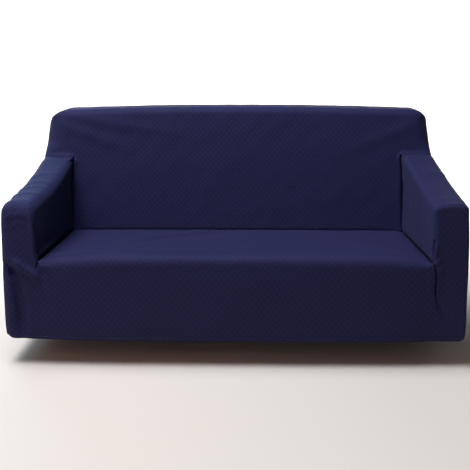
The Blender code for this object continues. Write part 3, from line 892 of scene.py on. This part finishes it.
def bendOf(points, ways):
    # how sharply the body turns under a point: 1 over an edge, 0 on the flat
    reach = panelMesh["bendReach"]
    slant = (0.31, 0.52, 0.79)  # square to none of the faces
    side = np.cross(ways, slant)
    side /= np.linalg.norm(side, axis=1, keepdims=True)
    other = np.cross(ways, side)
    fall = sum(body(points + step * reach) for step in (side, -side, other, -other)) / 4
    return fall / (reach * panelMesh["fullBend"])


# Node sums: one small class for the shaders and the stitches' tree


class Wire:
    def __init__(self, tree, socket=None):
        self.tree = tree
        self.socket = socket

    def node(self, kind, settings=None, inputs=None, output=0):
        made = self.tree.nodes.new(kind)
        for key, value in (settings or {}).items():
            setattr(made, key, value)
        for key, value in (inputs or {}).items():
            if isinstance(value, Wire):
                self.tree.links.new(value.socket, made.inputs[key])
            else:
                made.inputs[key].default_value = value
        return Wire(self.tree, made.outputs[output])

    def noise(self, place, scale, detail=1.0):
        inputs = {"Vector": place, "Scale": scale, "Detail": detail}
        return self.node("ShaderNodeTexNoise", None, inputs)

    def bump(self, height, strength):
        inputs = {"Height": height, "Distance": 1.0, "Strength": strength}
        return self.node("ShaderNodeBump", None, inputs)

    def attribute(self, name):
        return self.node("ShaderNodeAttribute", {"attribute_name": name}, output=2)

    def math(self, operation, *others, clamp=False):
        values = dict(enumerate((self, *others)))
        return self.node("ShaderNodeMath", {"operation": operation, "use_clamp": clamp}, values)

    def __add__(self, other):
        return self.math("ADD", other)

    __radd__ = __add__

    def __sub__(self, other):
        return self.math("SUBTRACT", other)

    def __rsub__(self, other):
        return self.node("ShaderNodeMath", {"operation": "SUBTRACT"}, {0: other, 1: self})

    def __mul__(self, other):
        return self.math("MULTIPLY", other)

    __rmul__ = __mul__

    def __truediv__(self, other):
        return self.math("DIVIDE", other)

    def __abs__(self):
        return self.math("ABSOLUTE")

    def between(self, low, high):
        inputs = {"Value": self, "From Min": low, "From Max": high}
        return self.node("ShaderNodeMapRange", {"interpolation_type": "SMOOTHSTEP"}, inputs)

    def mix(self, first, second):
        # a colour mix has its share at socket 0, its colours at 6 and 7, its result at 2
        return self.node("ShaderNodeMix", {"data_type": "RGBA"}, {0: self, 6: first, 7: second}, 2)


def newMaterial(name):
    material = bpy.data.materials.new(name)
    material.use_nodes = True
    return material, material.node_tree.nodes["Principled BSDF"]


clothLook = {
    "ground": (0.0120, 0.0125, 0.0450, 1),
    "raised": (0.0180, 0.0190, 0.0700, 1),
    "worn": (0.0260, 0.0290, 0.0900, 1),
    # painted shade: the darker colour laid along every seam, most of which run in the sofa's crevices
    "paintedShadeColour": (0.006, 0.006, 0.020, 1),
    "diamond": 0.0235,  # width of one diamond of the pattern
    "diamondSquash": 0.86,
    "diamondLift": 0.00045,
    "puff": (0.02, 0.30),  # from a diamond's edge to where it is full
    "heart": (0.34, 0.42),
    "heartDip": 0.35,
    "drift": 0.03,
    "driftScales": (5.0, 7.5),
    "loop": 0.0013,  # width of one knitted loop
    "loopSquash": 0.8,
    "loopSway": 1.4,
    "loopLift": 0.00016,
    "waleShare": 0.6,
    "cloudScale": 3.2,
    "threadScale": 420.0,
    "tones": {"pattern": 0.55, "threads": 0.35, "clouds": 0.45, "start": -0.25},
    "wear": {"least": 0.35, "clouds": 0.5, "whole": 0.3},
    # painted shade along the seams: its strength, and how far from a seam it reaches
    "paintedSeamShade": 0.25,
    "paintedShadeReach": 0.005,
    "roughness": 0.72,
    "roughThreads": 0.16,
    "smoothPattern": 0.06,
    "sheen": 0.04,
    "sheenRoughness": 0.45,
    "sheenTint": (0.50, 0.56, 1.0, 1),
    "specular": 0.08,
    "bumpStrength": 0.8,
}
stitching = {
    "puckerScale": 150.0,
    "seamPucker": 0.0012,
    "seamReach": (0.001, 0.014),
    "hemPucker": 0.0009,
    "hemReach": (0.001, 0.008),
    "hemAt": 0.0082,  # between the two rows of stitches
    "hemGroove": 0.0005,
    "hemGrooveReach": 0.0020,
}


def clothMaterial():
    material, shader = newMaterial("stretch_jacquard_cloth")
    tree = material.node_tree
    start = Wire(tree)

    run = start.node("ShaderNodeUVMap", {"uv_map": "clothRun"})
    u = start.node("ShaderNodeSeparateXYZ", None, {0: run}, output=0)
    v = start.node("ShaderNodeSeparateXYZ", None, {0: run}, output=1)
    place = start.node("ShaderNodeTexCoord", output=3)

    # puffed diamonds, each with a small dip at its heart, that drift a little over the cloth
    drift, lean = (start.noise(place, scale) for scale in clothLook["driftScales"])
    across = u + (drift - 0.5) * clothLook["drift"]
    up = (v + (lean - 0.5) * clothLook["drift"]) * clothLook["diamondSquash"]
    first = ((across + up) / clothLook["diamond"]).math("FRACT") - 0.5
    second = ((across - up) / clothLook["diamond"]).math("FRACT") - 0.5
    inset = 0.5 - abs(first).math("MAXIMUM", abs(second))
    puff = inset.between(*clothLook["puff"])
    heart = inset.between(*clothLook["heart"])
    pattern = puff - heart * clothLook["heartDip"]

    # knitted loops
    waleShare = clothLook["waleShare"]
    turns = 2 * math.pi / clothLook["loop"]
    wale = (u * turns).math("SINE")
    course = (v * (turns / clothLook["loopSquash"]) + abs(wale) * clothLook["loopSway"]).math("SINE")
    loops = abs(wale) * waleShare + course * (1 - waleShare)

    clouds = start.noise(place, clothLook["cloudScale"], detail=3.0)
    threads = start.noise(place, clothLook["threadScale"], detail=2.0)
    fromSeam, fromHem, stretch = map(start.attribute, ("seamGap", "hemGap", "stretch"))

    tones, wear = clothLook["tones"], clothLook["wear"]
    tone = pattern * tones["pattern"] + threads * tones["threads"] + clouds * tones["clouds"]
    tone = tone.math("ADD", tones["start"], clamp=True)
    colour = tone.mix(clothLook["ground"], clothLook["raised"])
    rub = stretch * (wear["least"] + wear["clouds"] * clouds)
    colour = rub.math("MULTIPLY", wear["whole"], clamp=True).mix(colour, clothLook["worn"])
    # painted shade: the colour darkens within a few millimetres of each seam, most of which lie in the
    # crevices
    paintedSeamShade = (1 - fromSeam.between(0.0, clothLook["paintedShadeReach"])) * clothLook["paintedSeamShade"]
    colour = paintedSeamShade.mix(colour, clothLook["paintedShadeColour"])
    tree.links.new(colour.socket, shader.inputs["Base Color"])

    roughness = clothLook["roughness"] + (threads - 0.5) * clothLook["roughThreads"]
    roughness = roughness - pattern * clothLook["smoothPattern"]
    tree.links.new(roughness.socket, shader.inputs["Roughness"])

    # puckers beside the seams and along the hem's stitching
    pucker = start.noise(place, stitching["puckerScale"])
    bySeam = 1 - fromSeam.between(*stitching["seamReach"])
    fromRows = abs(fromHem - stitching["hemAt"])
    groove = fromRows.between(0.0, stitching["hemGrooveReach"])
    byHem = 1 - fromRows.between(*stitching["hemReach"])
    puckered = bySeam * stitching["seamPucker"] + byHem * stitching["hemPucker"]
    height = pattern * clothLook["diamondLift"] + loops * clothLook["loopLift"]
    height = height + (pucker - 0.5) * puckered + groove * stitching["hemGroove"]
    bump = start.bump(height, clothLook["bumpStrength"])
    tree.links.new(bump.socket, shader.inputs["Normal"])

    plain = {
        "Metallic": 0.0,
        "Sheen Weight": clothLook["sheen"],
        "Sheen Roughness": clothLook["sheenRoughness"],
        "Sheen Tint": clothLook["sheenTint"],
        "Specular IOR Level": clothLook["specular"],
    }
    for label, value in plain.items():
        shader.inputs[label].default_value = value
    return material


cloth = clothMaterial()
panels = {name: makePanel(name, cloth) for name in panelGrids}
print("panels made:", {name: len(panel.data.polygons) for name, panel in panels.items()})

# Stitching along the hem: two rows of short stitches, laid by Geometry Nodes

stitchRow = {
    "heights": (0.0070, 0.0095),
    "pitch": 0.0046,
    "length": 0.0034,
    "thickness": 0.0007,
    "proud": 0.0001,
    "ballSides": 5,
    "ballRings": 4,
    "levelsUp": 14,  # the rows lie within this many levels above the hem
    "facingLevel": 4,  # and face the way the cloth does at this one
    "colours": ((0.013, 0.014, 0.050, 1), (0.020, 0.022, 0.075, 1)),
    "twistScale": 900.0,
    "twistLift": 0.0002,
    "bumpStrength": 0.6,
    "roughness": 0.5,
}


def threadMaterial():
    material, shader = newMaterial("hem_thread")
    tree = material.node_tree
    start = Wire(tree)
    place = start.node("ShaderNodeTexCoord", output=3)
    twist = start.noise(place, stitchRow["twistScale"])
    colour = twist.mix(*stitchRow["colours"])
    tree.links.new(colour.socket, shader.inputs["Base Color"])
    bump = start.bump(twist * stitchRow["twistLift"], stitchRow["bumpStrength"])
    tree.links.new(bump.socket, shader.inputs["Normal"])
    shader.inputs["Roughness"].default_value = stitchRow["roughness"]
    return material


def hemLoop(height):
    # the line around the cover at a height above the hem, as one closed ring of points
    ring = [(i, 0) for i in range(columns)] + [(columns, j) for j in range(rows)]
    ring += [(i, rows) for i in range(columns, 0, -1)] + [(0, j) for j in range(rows, 0, -1)]
    levels = range(hemLevel, hemLevel + stitchRow["levelsUp"])
    points = []
    for i, j in ring:
        codes = cornerCode(np.array([(i, j, k) for k in levels]))
        index = np.searchsorted(allCodes, codes)
        run = runOf(finalPoints[index])
        place = [np.interp(height, run, finalPoints[index, axis]) for axis in range(3)]
        way = smoothWays[index[stitchRow["facingLevel"]]]
        points.append(np.array(place) + way * stitchRow["proud"])
    return points


def stitchTree(material):
    tree = bpy.data.node_groups.new("stitch_row", "GeometryNodeTree")
    tree.interface.new_socket("Geometry", in_out="INPUT", socket_type="NodeSocketGeometry")
    for label in ("Pitch", "Length", "Thickness"):
        tree.interface.new_socket(label, in_out="INPUT", socket_type="NodeSocketFloat")
    tree.interface.new_socket("Geometry", in_out="OUTPUT", socket_type="NodeSocketGeometry")
    start = Wire(tree)
    given = tree.nodes.new("NodeGroupInput")
    line, pitch, length, thickness = (Wire(tree, given.outputs[n]) for n in range(4))
    curve = start.node("GeometryNodeMeshToCurve", None, {"Mesh": line})
    places = {"Curve": curve, "Length": pitch}
    spots = start.node("GeometryNodeResampleCurve", {"mode": "LENGTH"}, places)
    rounds = {"Segments": stitchRow["ballSides"], "Rings": stitchRow["ballRings"], "Radius": 0.5}
    ball = start.node("GeometryNodeMeshUVSphere", None, rounds)
    size = start.node("ShaderNodeCombineXYZ", None, {"X": length, "Y": thickness, "Z": thickness})
    stitch = start.node("GeometryNodeTransform", None, {"Geometry": ball, "Scale": size})
    along = {"Vector": start.node("GeometryNodeInputTangent")}
    turn = start.node("FunctionNodeAlignRotationToVector", {"axis": "X"}, along)
    laid = {"Points": spots, "Instance": stitch, "Rotation": turn}
    row = start.node("GeometryNodeInstanceOnPoints", None, laid)
    row = start.node("GeometryNodeRealizeInstances", None, {"Geometry": row})
    row = start.node("GeometryNodeSetMaterial", None, {"Geometry": row, "Material": material})
    result = tree.nodes.new("NodeGroupOutput")
    tree.links.new(row.socket, result.inputs["Geometry"])
    return tree


def makeStitches():
    points, edges = [], []
    for height in stitchRow["heights"]:
        first = len(points)
        loop = hemLoop(height)
        points += loop
        edges += [(first + n, first + (n + 1) % len(loop)) for n in range(len(loop))]
    mesh = bpy.data.meshes.new("hem_line")
    mesh.from_pydata([tuple(point) for point in points], edges, [])
    guide = placed("hem_line", mesh)

    thread = threadMaterial()
    modifier = guide.modifiers.new("stitches", "NODES")
    modifier.node_group = stitchTree(thread)
    wanted = {"Pitch": "pitch", "Length": "length", "Thickness": "thickness"}
    for item in modifier.node_group.interface.items_tree:
        if item.in_out == "INPUT" and item.name in wanted:
            modifier[item.identifier] = stitchRow[wanted[item.name]]
    graph = bpy.context.evaluated_depsgraph_get()
    sewn = bpy.data.meshes.new_from_object(guide.evaluated_get(graph))
    bpy.data.objects.remove(guide, do_unlink=True)
    sewn.name = "hem_stitches"
    if not sewn.materials:
        sewn.materials.append(thread)
    sewn.shade_smooth()
    return placed("hem_stitches", sewn)


stitches = makeStitches()
print("hem stitched:", len(stitches.data.polygons), "faces")

# Each panel stands in for the solid of the same name, which is hidden, and all hang from the root body

for name, panel in panels.items():
    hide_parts(name)
    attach(panel, "root")
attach(stitches, "root")

# Studio: a pale sweep, soft lights and the camera

studio = {
    "floor": (0.60, 0.548, 0.495, 1),
    "sweepBack": 3.2,
    "sweepRadius": 1.2,
    "sweepHeight": 2.2,
    "sweepFront": 5.0,
    "sweepHalfWidth": 7.0,
    "bendSteps": 16,
    "roughness": 0.9,
    "world": 0.06,
}


def makeSweep():
    ground = sofaToFrame[2]
    radius, bendSteps = studio["sweepRadius"], studio["bendSteps"]
    reach = studio["sweepBack"] - radius
    profile = [(-studio["sweepFront"], 0.0)]
    for step in range(bendSteps + 1):
        angle = step / bendSteps * math.pi / 2
        profile.append((reach + radius * math.sin(angle), radius * (1 - math.cos(angle))))
    profile.append((studio["sweepBack"], studio["sweepHeight"]))
    half = studio["sweepHalfWidth"]
    points = [(x, y, ground + z) for y, z in profile for x in (-half, half)]
    faces = [(2 * n, 2 * n + 1, 2 * n + 3, 2 * n + 2) for n in range(len(profile) - 1)]
    mesh = bpy.data.meshes.new("studio_sweep")
    mesh.from_pydata(points, [], faces)
    mesh.shade_smooth()
    material, shader = newMaterial("pale_paper")
    shader.inputs["Base Color"].default_value = studio["floor"]
    shader.inputs["Roughness"].default_value = studio["roughness"]
    mesh.materials.append(material)
    placed("studio_sweep", mesh)


# name, place, what it points at, size, power in watts, colour
lamps = (
    ("overhead", (-1.4, -1.3, 4.0), (0, -0.4, -0.45), (3.0, 2.4), 400, (0.90, 0.94, 1.0)),
    ("left window", (-2.1, 1.5, 0.8), (-0.8, -0.4, -0.3), (1.2, 1.0), 24, (0.36, 0.72, 1.0)),
    ("front fill", (-2.6, -3.4, 1.0), (0, -0.5, -0.6), (2.4, 1.8), 28, (1.0, 0.60, 0.48)),
    ("paper light", (0, 1.0, 1.4), (0, 3.2, 0.2), (5.0, 0.8), 260, (1.0, 1.0, 1.0)),
)


def areaLight(name, place, target, size, power, colour):
    light = bpy.data.lights.new(name, "AREA")
    light.shape = "RECTANGLE"
    light.size, light.size_y = size
    light.energy = power
    light.color = colour
    lamp = placed(name, light)
    lamp.location = place
    lamp.rotation_euler = (Vector(target) - Vector(place)).to_track_quat("-Z", "Y").to_euler()


def makeStudio():
    makeSweep()
    for lamp in lamps:
        areaLight(*lamp)
    world = bpy.data.worlds.new("studio_world")
    world.use_nodes = True
    background = world.node_tree.nodes["Background"]
    background.inputs["Color"].default_value = (1, 1, 1, 1)
    background.inputs["Strength"].default_value = studio["world"]
    bpy.context.scene.world = world
    bpy.context.scene.view_settings.view_transform = "Standard"


view = {
    "place": (0.071, -3.347, 0.284),
    "lens": 54.22,
    "sensor": 36.0,
    "downDegrees": 8.5,
    "turn": 0.0232,
    "roll": -0.0027,
    "shift": (-0.0015, -0.1785),
}


def makeCamera():
    camera = bpy.data.cameras.new("view_from_front")
    camera.lens = view["lens"]
    camera.sensor_width = view["sensor"]
    camera.sensor_fit = "HORIZONTAL"
    camera.shift_x, camera.shift_y = view["shift"]
    seen = placed("view_from_front", camera)
    aim = Euler((math.pi / 2 - math.radians(view["downDegrees"]), 0, view["turn"])).to_matrix()
    turned = aim @ Matrix.Rotation(view["roll"], 3, "Z")
    seen.matrix_world = Matrix.Translation(view["place"]) @ turned.to_4x4()
    bpy.context.scene.camera = seen


makeStudio()
makeCamera()
print("studio set")
